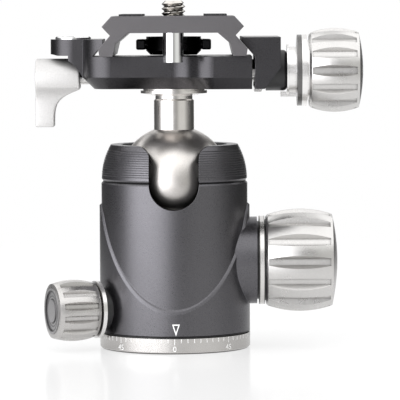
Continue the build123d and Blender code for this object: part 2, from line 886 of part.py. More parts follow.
with BuildPart() as clamp_body:
    # outline with a recess on each long side, in front of the plate's stop pins
    with BuildSketch(Plane.XY.offset(clamp_bottom)):
        with BuildLine():
            FilletPolyline(
                (clamp_right, -clamp_half_depth),
                (recess_right, -clamp_half_depth),
                (ramp_left, -recess_half),
                (-clamp_left, -recess_half),
                (-clamp_left, recess_half),
                (ramp_left, recess_half),
                (recess_right, clamp_half_depth),
                (clamp_right, clamp_half_depth),
                radius=[
                    clamp_recess_corner,
                    clamp_recess_corner,
                    clamp_corner,
                    clamp_corner,
                    clamp_recess_corner,
                    clamp_recess_corner,
                ],
            )
            Line((clamp_right, clamp_half_depth), (clamp_right, -clamp_half_depth))
        make_face()
    extrude(amount=body_depth)
    lower_edges = clamp_body.edges().group_by(Axis.Z)[0]
    chamfer(lower_edges.filter_by(lambda edge: edge.center().X < clamp_right - 1), clamp_chamfer)
    # ear of the level, hollowed underneath round the lever's hub
    with BuildSketch(Plane.XY.offset(clamp_bottom + clamp_chamfer)):
        with Locations((-ear_centre, 0)):
            Circle(ear_radius)
            Rectangle(ear_centre - clamp_left + clamp_corner, 2 * ear_radius, align=(Align.MIN, Align.CENTER))
    extrude(amount=body_depth - clamp_chamfer)
    with BuildSketch(behind(ear_radius + 1)):
        with Locations((-hollow_x, hollow_z)):
            Circle(hollow_radius)
        with Locations((-hollow_x, ear_bottom)):
            Rectangle(2 * ear_radius, body_depth, align=(Align.CENTER, Align.MAX))
    extrude(amount=2 * (ear_radius + 1), mode=Mode.SUBTRACT)
    # space over the deck, with the fixed jaw's undercut on its left
    with BuildSketch(behind(clamp_half_depth + 1)):
        Polygon(
            (-grip_half(clamp_deck), clamp_deck),
            (-fixed_lip_half, fixed_lip_height),
            (-fixed_lip_half, clamp_top + 1),
            (clamp_right + 1, clamp_top + 1),
            (clamp_right + 1, clamp_deck),
            align=None,
        )
    extrude(amount=2 * (clamp_half_depth + 1), mode=Mode.SUBTRACT)
    # pocket of the level
    with Locations((-ear_centre, 0, clamp_top - level_depth)):
        Cylinder(level_ring_radius + seat_gap, level_depth, align=Z_UP, mode=Mode.SUBTRACT)
    # seat of the stem
    with Locations((0, 0, stem_washer_bottom - face_gap)):
        Cylinder(stem_washer_radius + slide_gap, body_depth, align=Z_UP, mode=Mode.SUBTRACT)
    with Locations((0, 0, clamp_bottom)):
        Cylinder(stem_radius + running_gap, body_depth, align=Z_UP, mode=Mode.SUBTRACT)
    # hole of the brake pin, then the holes of the clamp screw, guide pins and springs
    with BuildSketch(across(-lever_end, lever_axis_height)):
        Circle(brake_pin_radius + slide_gap)
    extrude(amount=lever_end, mode=Mode.SUBTRACT)
    with BuildSketch(across(clamp_screw_start - 0.5, clamp_axis_height)):
        Circle(clamp_screw_radius + slide_gap)
    extrude(amount=clamp_right, mode=Mode.SUBTRACT)
    with BuildSketch(across(guide_pin_start - 0.5, clamp_axis_height)):
        with Locations(*((y, 0) for y in guide_ys)):
            Circle(guide_pin_radius + slide_gap)
    extrude(amount=clamp_right, mode=Mode.SUBTRACT)
    with BuildSketch(across(spring_start, clamp_axis_height)):
        with Locations(*((y, 0) for y in guide_ys)):
            Circle(jaw_spring_radius + seat_gap)
    extrude(amount=clamp_right, mode=Mode.SUBTRACT)
finish(clamp_body.part, "clamp_body")

# round level: cup, and the glass in it
level_bottom = clamp_top - level_depth + seat_gap
level_glass_radius = level_ring_radius - level_ring_wall - seat_gap
level_glass_bottom = level_bottom + level_ring_wall
level_rim = clamp_top + level_ring_height
with BuildPart() as level_cup:
    with Locations((-ear_centre, 0, level_bottom)):
        Cylinder(level_ring_radius, level_rim - level_bottom, align=Z_UP)
    chamfer(level_cup.edges().group_by(Axis.Z)[-1], level_ring_wall / 3)
    with Locations((-ear_centre, 0, level_glass_bottom)):
        Cylinder(level_ring_radius - level_ring_wall, body_depth, align=Z_UP, mode=Mode.SUBTRACT)
finish(level_cup.part, "level_cup")

with BuildPart() as level_glass:
    with Locations((-ear_centre, 0, level_glass_bottom + seat_gap)):
        Cylinder(level_glass_radius, level_rim - level_glass_bottom - 0.2, align=Z_UP)
finish(level_glass.part, "level_glass")

# springs round the guide pins, pressed flat in their pockets while the jaw is closed
with BuildPart() as jaw_springs:
    with BuildSketch(across(spring_start + seat_gap, clamp_axis_height)):
        with Locations(*((y, 0) for y in guide_ys)):
            Circle(jaw_spring_radius)
            Circle(guide_pin_radius + slide_gap, mode=Mode.SUBTRACT)
    extrude(amount=jaw_spring_length - 2 * seat_gap)
finish(jaw_springs.part, "jaw_springs")

# ---------------------------------------------------------------- lever of the pan lock
lever_plane = Plane(origin=(0, 0, lever_axis_height), x_dir=(1, 0, 0), z_dir=(0, -1, 0))
hub_arc_radius = hollow_radius - open_gap
hub_arc_rise = lever_axis_height - hollow_z


def hub_arc(x):
    """Radius of the hub at a distance x left of the pan axis, concentric with the hollow."""
    return sqrt(hub_arc_radius**2 - (hollow_x - x) ** 2) - hub_arc_rise


lever_hub_straight = hollow_x - sqrt(hub_arc_radius**2 - (lever_hub_radius + hub_arc_rise) ** 2)
hub_arc_middle = (lever_hub_straight + lever_hub_face) / 2

with BuildPart() as lever:
    with BuildSketch(lever_plane):
        with BuildLine():
            Polyline(
                (-lever_hub_face, 0),
                (-lever_end, 0),
                (-lever_end, lever_hub_radius - lever_edge),
                (-lever_end + lever_edge, lever_hub_radius),
                (-lever_hub_straight, lever_hub_radius),
            )
            ThreePointArc(
                (-lever_hub_straight, lever_hub_radius),
                (-hub_arc_middle, hub_arc(hub_arc_middle)),
                (-lever_hub_face, hub_arc(lever_hub_face)),
            )
            Line((-lever_hub_face, hub_arc(lever_hub_face)), (-lever_hub_face, 0))
        make_face()
    revolve(axis=Axis((0, 0, lever_axis_height), (1, 0, 0)))
    # arm, with a round root under the hub
    arm_bottom = lever_arm_bottom - lever_axis_height
    with BuildSketch(lever_plane.offset(-lever_arm_half_width)):
        with BuildLine():
            FilletPolyline(
                (-lever_arm_inner, arm_bottom),
                (-lever_arm_inner, -lever_web_height - lever_web_drop),
                (-lever_hub_face, -lever_web_height),
                (-lever_hub_face, -lever_web_top),
                radius=[lever_root_radius, lever_toe_radius],
            )
            Polyline(
                (-lever_hub_face, -lever_web_top),
                (-lever_hub_straight, -lever_web_top),
                (-lever_hub_straight, 0),
                (-lever_end, 0),
                (-lever_end, arm_bottom),
                (-lever_arm_inner, arm_bottom),
            )
        make_face()
    extrude(amount=2 * lever_arm_half_width)
    chamfer(lever.edges().group_by(Axis.Z)[0], lever_edge)
    with BuildSketch(across(-lever_end + 2.5, lever_axis_height)):
        Circle(lever_screw_radius + seat_gap)
    extrude(amount=lever_end, mode=Mode.SUBTRACT)
finish(lever.part, "pan_lever")

lever_screw_head = -lever_end + 2.5 + seat_gap
finish(
    disc(across(lever_screw_head, lever_axis_height), lever_screw_radius, -lever_screw_start - lever_screw_head),
    "lever_screw",
)
brake_pin_start = -lever_screw_start + seat_gap
finish(
    disc(across(brake_pin_start, lever_axis_height), brake_pin_radius, -stem_radius - running_gap - brake_pin_start),
    "stem_brake_pin",
)

# ---------------------------------------------------------------- moving jaw
hook_lip_half = grip_half(hook_lip_height)
sleeve_start = jaw_right - sleeve_sink
collar_start = jaw_right + sleeve_length
jaw_slope_foot = plate_heel_height - (jaw_left - grip_half(plate_heel_height)) / grip_slope

with BuildPart() as jaw:
    with BuildSketch(behind(clamp_half_depth)):
        Polygon(
            (jaw_left, jaw_bottom),
            (jaw_right - jaw_under_chamfer, jaw_bottom),
            (jaw_right, jaw_bottom + jaw_under_height),
            (jaw_right, jaw_top),
            (hook_lip_half, jaw_top),
            (hook_lip_half, hook_lip_height),
            (jaw_left, jaw_slope_foot),
            align=None,
        )
    extrude(amount=2 * clamp_half_depth)
    with BuildSketch(across(jaw_left, clamp_axis_height)):
        Circle(clamp_screw_radius + slide_gap)
    extrude(amount=jaw_right, mode=Mode.SUBTRACT)
    with BuildSketch(across(sleeve_start - seat_gap, clamp_axis_height)):
        Circle(sleeve_radius + seat_gap)
    extrude(amount=jaw_right, mode=Mode.SUBTRACT)
    with BuildSketch(across(jaw_left, clamp_axis_height)):
        with Locations(*((y, 0) for y in guide_ys)):
            Circle(guide_pin_radius + seat_gap)
    extrude(amount=jaw_under_chamfer, mode=Mode.SUBTRACT)
finish(jaw.part, "moving_jaw")

with BuildPart() as guide_pins:
    with BuildSketch(across(guide_pin_start, clamp_axis_height)):
        with Locations(*((y, 0) for y in guide_ys)):
            Circle(guide_pin_radius)
    extrude(amount=jaw_left + jaw_under_chamfer - seat_gap - guide_pin_start)
finish(guide_pins.part, "guide_pins")

with BuildPart() as jaw_keeper:
    with BuildSketch(behind(keeper_half_depth)):
        Polygon(
            (jaw_left, jaw_bottom),
            (jaw_left, jaw_bottom - keeper_height),
            (jaw_left + keeper_width, jaw_bottom - keeper_height),
            (jaw_left + keeper_width + keeper_height / 2, jaw_bottom),
            align=None,
        )
    extrude(amount=2 * keeper_half_depth)
finish(jaw_keeper.part, "jaw_keeper")

screw_hole = clamp_screw_radius + running_gap
collar_end = collar_start + collar_length
with BuildPart() as sleeve:
    with BuildSketch(across(sleeve_start, clamp_axis_height)):
        Circle(sleeve_radius)
        Circle(screw_hole, mode=Mode.SUBTRACT)
    extrude(amount=collar_start - sleeve_start)
    fillet(sleeve.edges().group_by(Axis.X)[-1].sort_by(SortBy.LENGTH)[-1], sleeve_shoulder)
finish(sleeve.part, "clamp_sleeve")

# collar with a thin flange, and a tab that reaches back under the sleeve
with BuildPart() as collar:
    with BuildSketch(across(collar_start, clamp_axis_height)):
        Circle(collar_radius)
    extrude(amount=collar_length)
    with BuildSketch(across(collar_start, clamp_axis_height)):
        Circle(collar_flange_radius)
    extrude(amount=collar_flange_width)
    tab_top = clamp_axis_height - collar_radius - tab_drop + tab_thickness
    with Locations((collar_end, 0, tab_top)):
        Box(
            collar_end - jaw_right - open_gap,
            2 * tab_half_width,
            tab_thickness,
            align=(Align.MAX, Align.CENTER, Align.MAX),
        )
    with BuildSketch(across(collar_start, clamp_axis_height)):
        Circle(screw_hole)
    extrude(amount=collar_length, mode=Mode.SUBTRACT)
finish(collar.part, "clamp_collar")

# ---------------------------------------------------------------- clamp knob
shade_start = collar_end + face_gap
shine_start = shade_start + shade_ring_width
spacer_start = shine_start + shine_ring_width
clamp_knob_start = spacer_start + spacer_width
screw_seat = clamp_screw_radius + seat_gap
finish(
    disc(across(shade_start, clamp_axis_height), shade_ring_radius, shade_ring_width, screw_seat),
    "clamp_slip_ring",
)
finish(
    disc(across(shine_start, clamp_axis_height), shine_ring_radius, shine_ring_width, screw_seat),
    "clamp_knob_ring",
)
finish(
    disc(across(spacer_start, clamp_axis_height), spacer_radius, spacer_width, screw_seat),
    "clamp_spacer",
)
finish(
    knob(
        across(clamp_knob_start, clamp_axis_height),
        clamp_knob_length,
        clamp_knob_edge,
        clamp_knob_crown,
        clamp_knob_dome,
        clamp_flute_length,
        flute_floor,
        0,
        screw_seat,
        clamp_screw_seat + seat_gap,
    ),
    "clamp_knob",
)
finish(
    disc(
        across(clamp_screw_start, clamp_axis_height),
        clamp_screw_radius,
        clamp_knob_start + clamp_screw_seat - clamp_screw_start,
    ),
    "clamp_screw",
)

# ---------------------------------------------------------------- quick release plate
plate_side = [
    (plate_foot_half, plate_foot_bottom),
    (plate_heel_half, plate_heel_height),
    (plate_waist_half, plate_waist_height),
    (plate_tip_half, plate_tip_height),
    (plate_top_half, plate_top),
]
window_side = [
    (window_foot_half, plate_foot_bottom),
    (window_leg_half, window_leg_height),
    (window_ceiling_half, window_ceiling),
]


def mirrored(side):
    """The side's points, then their mirror images in reverse, as one closed outline."""
    return side + [(-x, z) for x, z in reversed(side)]


pad_middle = (pad_inner + pad_outer) / 2
pad_width = pad_outer - pad_inner
stop_pin_ys = (-stop_pin_offset, stop_pin_offset)

with BuildPart() as plate:
    with BuildSketch(behind(plate_length / 2)):
        Polygon(*mirrored(plate_side), align=None)
        Polygon(*mirrored(window_side), align=None, mode=Mode.SUBTRACT)
    extrude(amount=plate_length)
    # slot of the camera screw, beds of the pads, holes of the stop pins
    with BuildSketch(Plane.XY.offset(plate_top)):
        SlotOverall(camera_slot_length, 2 * (camera_screw_radius + slide_gap), rotation=90)
    extrude(amount=window_ceiling - plate_top, mode=Mode.SUBTRACT)
    with BuildSketch(Plane.XY.offset(plate_top)):
        with Locations((-pad_middle, 0), (pad_middle, 0)):
            Rectangle(pad_width + 2 * seat_gap, pad_length + 2 * seat_gap)
    extrude(amount=-pad_recess, mode=Mode.SUBTRACT)
    with BuildSketch(Plane.XY.offset(window_ceiling)):
        with Locations(*((0, y) for y in stop_pin_ys)):
            Circle(stop_pin_shank + seat_gap)
    extrude(amount=0.7 * (plate_top - window_ceiling), mode=Mode.SUBTRACT)
finish(plate.part, "plate")

with BuildPart() as plate_pads:
    with BuildSketch(Plane.XY.offset(plate_top - pad_recess + seat_gap)):
        with Locations((-pad_middle, 0), (pad_middle, 0)):
            Rectangle(pad_width, pad_length)
    extrude(amount=pad_recess + pad_height - seat_gap)
finish(plate_pads.part, "plate_pads")

with BuildPart() as stop_pins:
    with Locations(*((0, y, stop_pin_bottom) for y in stop_pin_ys)):
        Cylinder(stop_pin_radius, window_ceiling - seat_gap - stop_pin_bottom, align=Z_UP)
        Cylinder(
            stop_pin_shank,
            window_ceiling + 0.6 * (plate_top - window_ceiling) - stop_pin_bottom,
            align=Z_UP,
        )
finish(stop_pins.part, "stop_pins")

# ---------------------------------------------------------------- camera screw
ring_hole_depth = 1.4
with BuildPart() as camera_screw:
    with Locations((0, 0, camera_head_bottom)):
        Cylinder(camera_head_radius, camera_head_top - camera_head_bottom, align=Z_UP)
    chamfer(camera_screw.edges().group_by(Axis.Z)[0], camera_head_chamfer)
    with Locations((0, 0, camera_head_bottom)):
        Cylinder(camera_shank_radius, camera_thread_start - camera_head_bottom, align=Z_UP)
    with Locations((0, 0, camera_thread_start)):
        Cylinder(camera_screw_radius, camera_screw_top - camera_thread_start, align=Z_UP)
    chamfer(camera_screw.edges().group_by(Axis.Z)[-1], camera_screw_chamfer)
    for side in (-1, 1):
        with BuildSketch(across(side * camera_head_radius, ring_height)):
            Circle(ring_pivot_radius + slide_gap)
        extrude(amount=-side * ring_hole_depth, mode=Mode.SUBTRACT)
finish(camera_screw.part, "camera_screw")

# folding D-ring: two pivots, two short arms and a half round of square bar
ring_pivot = camera_head_radius - ring_hole_depth + slide_gap
ring_outer = ring_half_width + ring_width / 2
ring_inner = ring_half_width - ring_width / 2
with BuildPart() as d_ring:
    with BuildSketch(Plane.XY.offset(ring_height - ring_thickness / 2)):
        with BuildLine():
            Polyline(
                (-ring_outer, ring_arm),
                (-ring_outer, -ring_heel),
                (-ring_inner, -ring_heel),
                (-ring_inner, ring_arm),
            )
            ThreePointArc((-ring_inner, ring_arm), (0, ring_arm + ring_inner), (ring_inner, ring_arm))
            Polyline(
                (ring_inner, ring_arm),
                (ring_inner, -ring_heel),
                (ring_outer, -ring_heel),
                (ring_outer, ring_arm),
            )
            ThreePointArc((ring_outer, ring_arm), (0, ring_arm + ring_outer), (-ring_outer, ring_arm))
        make_face()
    extrude(amount=ring_thickness)
    fillet(d_ring.edges().filter_by(lambda edge: edge.center().Y < ring_arm / 2), ring_edge)
    for side in (-1, 1):
        with BuildSketch(across(side * ring_pivot, ring_height)):
            Circle(ring_pivot_radius)
        extrude(amount=side * (ring_half_width - ring_pivot))
finish(d_ring.part, "d_ring")
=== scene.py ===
"""Looks of a tripod ball head: materials, marks, threads, level bubble, camera and light.

Metres, +Z up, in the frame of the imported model. The drop notch faces -Y.
Materials work in millimetres.
"""

import math

import bmesh
import bpy
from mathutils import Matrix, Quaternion, Vector


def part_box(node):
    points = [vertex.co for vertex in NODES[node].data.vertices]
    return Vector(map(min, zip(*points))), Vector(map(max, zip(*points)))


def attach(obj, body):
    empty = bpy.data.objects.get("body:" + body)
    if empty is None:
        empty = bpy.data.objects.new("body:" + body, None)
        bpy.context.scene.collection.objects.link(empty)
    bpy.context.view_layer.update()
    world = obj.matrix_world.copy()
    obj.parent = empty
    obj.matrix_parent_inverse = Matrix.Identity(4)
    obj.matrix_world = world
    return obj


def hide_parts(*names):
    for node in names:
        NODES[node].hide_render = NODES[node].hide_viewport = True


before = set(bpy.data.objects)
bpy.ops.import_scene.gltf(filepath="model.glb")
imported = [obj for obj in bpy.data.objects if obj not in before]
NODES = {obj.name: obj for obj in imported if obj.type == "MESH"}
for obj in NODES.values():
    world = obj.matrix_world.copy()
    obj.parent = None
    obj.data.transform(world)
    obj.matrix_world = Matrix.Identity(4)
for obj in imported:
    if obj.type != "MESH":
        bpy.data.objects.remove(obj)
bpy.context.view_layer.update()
MM = 0.001


# ---------------------------------------------------------------- node helpers
class Tree:
    """A node tree, with short ways to add nodes and to link them."""

    def __init__(self, tree):
        self.tree = tree

    def add(self, kind, **values):
        made = self.tree.nodes.new(kind)
        for key, value in values.items():
            setattr(made, key, value)
        return made

    def link(self, out, into):
        self.tree.links.new(out, into)

    def maths(self, operation, first, second=None, third=None):
        """Result of a maths node on numbers or sockets."""
        made = self.add("ShaderNodeMath", operation=operation)
        for place, value in enumerate((first, second, third)):
            if value is None:
                continue
            if isinstance(value, (int, float)):
                made.inputs[place].default_value = value
            else:
                self.link(value, made.inputs[place])
        return made.outputs[0]

    def ramp_up(self, value, low, high, **values):
        """0 below low to 1 over high."""
        made = self.add("ShaderNodeMapRange", **values)
        made.inputs["From Min"].default_value = low
        made.inputs["From Max"].default_value = high
        self.link(value, made.inputs["Value"])
        return made.outputs[0]

    def mix_shaders(self, factor, first, second):
        mix = self.add("ShaderNodeMixShader")
        for value, place in ((factor, 0), (first, 1), (second, 2)):
            self.link(value, mix.inputs[place])
        return mix.outputs[0]

    def seen_directly(self):
        """1 for camera, glossy and transmission rays, else 0."""
        path = self.add("ShaderNodeLightPath")
        direct = self.maths("MAXIMUM", path.outputs["Is Camera Ray"], path.outputs["Is Glossy Ray"])
        return self.maths("MAXIMUM", direct, path.outputs["Is Transmission Ray"])


class Shade(Tree):
    """One node material, with coordinates in millimetres of the row frame."""

    def __init__(self, name, colour, metallic, roughness):
        self.material = bpy.data.materials.new(name)
        self.material.use_nodes = True
        super().__init__(self.material.node_tree)
        self.shader = self.tree.nodes["Principled BSDF"]
        self.set("Base Color", (*colour, 1.0))
        self.set("Metallic", metallic)
        self.set("Roughness", roughness)
        place = self.add("ShaderNodeTexCoord")
        scale = self.add("ShaderNodeVectorMath", operation="SCALE")
        scale.inputs["Scale"].default_value = 1 / MM
        self.link(place.outputs["Object"], scale.inputs[0])
        self.where = scale.outputs[0]
        self.height = None

    def set(self, socket, value):
        self.shader.inputs[socket].default_value = value

    def show(self, out):
        """Shows another shader in place of the Principled one."""
        self.link(out, self.tree.nodes["Material Output"].inputs["Surface"])

    def noise(self, scale, detail):
        """Noise about 0.5, with scale features to a millimetre."""
        made = self.add("ShaderNodeTexNoise")
        made.inputs["Scale"].default_value = scale
        made.inputs["Detail"].default_value = detail
        self.link(self.where, made.inputs["Vector"])
        return made.outputs[0]

    def spread(self, value, low, high):
        """Noise about 0.5 turned into numbers from low to high."""
        made = self.add("ShaderNodeMapRange")
        made.inputs["From Min"].default_value = 0.3
        made.inputs["From Max"].default_value = 0.7
        made.inputs["To Min"].default_value = low
        made.inputs["To Max"].default_value = high
        self.link(value, made.inputs["Value"])
        return made.outputs[0]

    def vary_colour(self, value, dark, light):
        """Base colour between two colours by a number from 0 to 1."""
        mix = self.add("ShaderNodeMix", data_type="RGBA")
        mix.inputs["A"].default_value = (*dark, 1.0)
        mix.inputs["B"].default_value = (*light, 1.0)
        self.link(value, mix.inputs["Factor"])
        self.link(mix.outputs["Result"], self.shader.inputs["Base Color"])

    def darken(self, where, amount):
        """Darkens the colour by an amount wherever a mask is 1."""
        mix = self.add("ShaderNodeMix", data_type="RGBA", blend_type="MULTIPLY")
        mix.inputs["B"].default_value = (1 - amount, 1 - amount, 1 - amount, 1.0)
        socket = self.shader.inputs["Base Color"]
        self.link(socket.links[0].from_socket, mix.inputs["A"])
        self.link(where, mix.inputs["Factor"])
        self.link(mix.outputs["Result"], socket)

    def paint_shade_in_creases(self, reach, amount):
        """Painted shade: darkens inner corners within a reach in millimetres, where shade falls."""
        made = self.add("ShaderNodeAmbientOcclusion", samples=8)
        made.inputs["Distance"].default_value = reach * MM
        self.darken(self.maths("SUBTRACT", 1.0, made.outputs["AO"]), amount)

    def vary_roughness(self, value):
        self.link(value, self.shader.inputs["Roughness"])

    def soften(self, radius):
        """Rounds the edges' shading by a radius in millimetres."""
        made = self.add("ShaderNodeBevel", samples=6)
        made.inputs["Radius"].default_value = radius * MM
        self.height = made.outputs[0]

    def bump(self, value, depth):
        """Adds a height map whose 0 to 1 is depth millimetres."""
        made = self.add("ShaderNodeBump")
        made.inputs["Distance"].default_value = depth * MM
        made.inputs["Strength"].default_value = 1.0
        self.link(value, made.inputs["Height"])
        if self.height:
            self.link(self.height, made.inputs["Normal"])
        self.height = made.outputs[0]
        self.link(self.height, self.shader.inputs["Normal"])

    def parts(self):
        """X, Y and Z in millimetres."""
        made = self.add("ShaderNodeSeparateXYZ")
        self.link(self.where, made.inputs[0])
        return made.outputs

    def about(self, centre, along):
        """(distance along, radius about) an axis through centre, in millimetres."""
        offset = self.add("ShaderNodeVectorMath", operation="SUBTRACT")
        self.link(self.where, offset.inputs[0])
        offset.inputs[1].default_value = centre
        dot = self.add("ShaderNodeVectorMath", operation="DOT_PRODUCT")
        self.link(offset.outputs[0], dot.inputs[0])
        dot.inputs[1].default_value = along
        cross = self.add("ShaderNodeVectorMath", operation="CROSS_PRODUCT")
        self.link(offset.outputs[0], cross.inputs[0])
        cross.inputs[1].default_value = along
        length = self.add("ShaderNodeVectorMath", operation="LENGTH")
        self.link(cross.outputs[0], length.inputs[0])
        return dot.outputs["Value"], length.outputs["Value"]


def dimmed(colour, share):
    return tuple(share * value for value in colour)


def anodised(name, dark, light, rough):
    """Blasted and anodised aluminium: fine grain in colour, gloss and height."""
    shade = Shade(name, light, 1.0, rough)
    shade.soften(radius=0.2)
    fine = shade.noise(scale=5.0, detail=3.0)
    broad = shade.noise(scale=0.12, detail=2.0)
    shade.vary_colour(shade.spread(fine, 0.0, 1.0), dark, light)
    patches = shade.spread(broad, rough - 0.015, rough + 0.015)
    shade.vary_roughness(shade.maths("ADD", shade.spread(fine, -0.05, 0.05), patches))
    shade.bump(fine, depth=0.02)
    return shade


def turned(name, colour, rough, centre, along, pitch=0.12, depth=0.004, wobble_depth=0.0008):
    """Metal turned on a lathe: fine grooves round an axis and soft stains."""
    shade = Shade(name, colour, 1.0, rough)
    run, radius = shade.about(centre, along)
    groove = shade.maths("PINGPONG", shade.maths("ADD", run, radius), pitch / 2)
    wobble = shade.noise(scale=1.6, detail=3.0)
    stain = shade.noise(scale=0.25, detail=3.0)
    shade.bump(shade.maths("MULTIPLY", groove, 2 / pitch), depth)
    shade.bump(wobble, wobble_depth)
    shade.vary_roughness(shade.spread(stain, rough - 0.02, rough + 0.02))
    shade.vary_colour(shade.spread(stain, 0.0, 1.0), dimmed(colour, 0.96), colour)
    return shade


def blasted(name, colour, rough, grain=3.2, depth=0.02):
    """Pale satin metal with a fine blasted skin."""
    shade = Shade(name, colour, 1.0, rough)
    fine = shade.noise(grain, detail=3.0)
    broad = shade.noise(scale=0.2, detail=2.0)
    shade.bump(fine, depth)
    shade.vary_colour(shade.spread(fine, 0.2, 1.0), dimmed(colour, 0.88), colour)
    shade.vary_roughness(shade.spread(broad, rough - 0.05, rough + 0.05))
    return shade


def plastic(name, colour, rough, grain=2.0, depth=0.02):
    """Moulded plastic or rubber with a fine skin."""
    shade = Shade(name, colour, 0.0, rough)
    fine = shade.noise(grain, detail=3.0)
    shade.bump(fine, depth)
    shade.vary_colour(shade.spread(fine, 0.0, 1.0), dimmed(colour, 0.8), colour)
    shade.vary_roughness(shade.spread(fine, rough - 0.06, rough + 0.06))
    return shade


def clothe(shade, *names):
    """Gives CAD nodes a material."""
    for name in names:
        slots = NODES[name].material_slots
        if not slots:
            NODES[name].data.materials.append(shade.material)
        for slot in slots:
            slot.material = shade.material


# ---------------------------------------------------------------- materials of the CAD nodes
CENTRE = (0, 0, 0)
UP = (0, 0, 1)
RIGHT = (1, 0, 0)
# a point on the axis of each knob, and the way that the pan knob points
LOCK_CENTRE = (0, 0, 23.1)
CLAMP_CENTRE = (0, 0, 73.7)
PAN_CENTRE = (0, 0, 10.8)
PAN_TURN = math.radians(20.5)
PAN_OUT = Vector((-math.cos(PAN_TURN), -math.sin(PAN_TURN), 0))

body_dark = anodised("anodised_body", (0.10, 0.098, 0.105), (0.145, 0.142, 0.152), rough=0.31)
clothe(body_dark, "housing")
# painted shade: the walls of the notch and of the bore are darkened for the shade in them, over what lies
# under the rim's edge and inside a shell that narrows over the crown's foot; the joint under the housing is
# dark as well
SHELL_RADIUS = 19.12
CROWN_FOOT = 45.2
CROWN_ARC = 17.15
RIM_EDGE = 54.1
HOUSING_FOOT = 4.72
# how far the walls' painted shade and the dark joints darken the colour
SHADE_AND_JOINT_DARKENING = 0.85
body_height, body_reach = body_dark.about(CENTRE, UP)
over_foot = body_dark.maths("MAXIMUM", body_dark.maths("SUBTRACT", body_height, CROWN_FOOT), 0.0)
narrowing = body_dark.maths("DIVIDE", body_dark.maths("MULTIPLY", over_foot, over_foot), 2 * CROWN_ARC)
shell = body_dark.maths("SUBTRACT", SHELL_RADIUS, narrowing)
inside = body_dark.maths("LESS_THAN", body_reach, shell)
shaded_below_rim = body_dark.maths("LESS_THAN", body_height, RIM_EDGE)
# painted shade on the notch and bore walls
body_dark.darken(body_dark.maths("MULTIPLY", inside, shaded_below_rim), SHADE_AND_JOINT_DARKENING)
body_dark.darken(body_dark.maths("LESS_THAN", body_height, HOUSING_FOOT), SHADE_AND_JOINT_DARKENING)

clamp_dark = anodised("anodised_clamp", (0.052, 0.051, 0.054), (0.073, 0.071, 0.075), rough=0.29)
clothe(clamp_dark, "clamp_body", "moving_jaw")
plate_dark = anodised("anodised_plate", (0.120, 0.116, 0.120), (0.170, 0.164, 0.170), rough=0.36)
clothe(plate_dark, "plate")

# the ring is dark over its upper edge and at its foot
RING_EDGE = 4.05
RING_FOOT = 0.3
ring_silver = turned("silver_ring", (0.56, 0.545, 0.53), 0.24, CENTRE, UP, depth=0.001, wobble_depth=0.0)
ring_height = ring_silver.parts()[2]
ring_silver.darken(ring_silver.maths("GREATER_THAN", ring_height, RING_EDGE), 0.9)
ring_silver.darken(ring_silver.maths("LESS_THAN", ring_height, RING_FOOT), 0.7)
clothe(ring_silver, "base_ring")

knob_metal = blasted("knob_metal", (0.62, 0.61, 0.598), 0.30)
# painted shade in the creases of the knobs' flutes
knob_metal.paint_shade_in_creases(reach=0.9, amount=0.95)
clothe(knob_metal, "lock_knob", "clamp_knob")
# painted shade: the pan knob has a darker copy of the knobs' metal, so that it shows less lit than they do
shaded_pan_knob_metal = blasted("pan_knob_shaded_metal", (0.56, 0.547, 0.535), 0.29)
# painted shade in the creases of the pan knob's flutes
shaded_pan_knob_metal.paint_shade_in_creases(reach=0.7, amount=0.95)
clothe(shaded_pan_knob_metal, "pan_knob")
lever_metal = blasted("lever_metal", (0.60, 0.592, 0.584), 0.46, grain=2.6, depth=0.014)
lever_metal.set("Metallic", 0.5)
# painted shade in the lever's inner corners, as the shadow in the wedge under the ear
lever_metal.paint_shade_in_creases(reach=3.0, amount=0.95)
clothe(lever_metal, "pan_lever")

# dark joints on both sides of the lock knob's washer: place along the axis, half width
LOCK_JOINTS = ((22.45, 0.2), (23.85, 0.15))
lock_silver = turned("lock_silver", (0.70, 0.685, 0.67), 0.22, LOCK_CENTRE, RIGHT)
lock_along = lock_silver.parts()[0]
for joint_place, joint_half in LOCK_JOINTS:
    lock_silver.darken(lock_silver.maths("COMPARE", lock_along, joint_place, joint_half), SHADE_AND_JOINT_DARKENING)
clothe(lock_silver, "lock_washer")
pan_silver = turned("pan_silver", (0.78, 0.77, 0.76), 0.22, PAN_CENTRE, PAN_OUT)
clothe(pan_silver, "pan_collar")
clamp_silver = turned("clamp_silver", (0.84, 0.83, 0.82), 0.2, CLAMP_CENTRE, RIGHT)
clothe(clamp_silver, "clamp_collar", "clamp_knob_ring", "clamp_spacer")

ball_metal = blasted("ball_metal", (0.80, 0.767, 0.735), 0.32, grain=3.0, depth=0.008)
# painted shade on the ball by the neck and the notch walls, with the walls' dark reflection
ball_metal.paint_shade_in_creases(reach=7.0, amount=0.97)
clothe(ball_metal, "ball")
neck_steel = turned("neck_steel", (0.74, 0.715, 0.69), 0.16, CENTRE, UP, pitch=0.1, depth=0.002)
clothe(neck_steel, "neck_sleeve", "stem_flange", "stem_thrust_washer", "stem_washer")
steel = turned("turned_steel", (0.66, 0.65, 0.64), 0.28, CENTRE, UP)
clothe(steel, "pan_spindle", "pan_clip", "wedge_floor", "lower_cup", "guide_pins", "jaw_springs")
brass = turned("brass", (0.72, 0.55, 0.27), 0.26, CENTRE, UP)
clothe(brass, "bearing_carrier", "lock_wedge", "pan_brake_shoe", "stem_brake_pin")
chrome = turned("chrome", (0.88, 0.88, 0.88), 0.07, CENTRE, UP, pitch=0.2, depth=0.0005)
clothe(chrome, "stop_pins", "level_cup")
screw_steel = turned("screw_steel", (0.6, 0.59, 0.58), 0.25, LOCK_CENTRE, RIGHT)
clothe(screw_steel, "lock_screw", "pan_lock_screw", "clamp_screw", "lever_screw", "stem_bolt", "jaw_keeper")
black_steel = blasted("black_steel", (0.018, 0.018, 0.019), 0.28, grain=2.0, depth=0.012)
clothe(black_steel, "d_ring", "camera_screw")
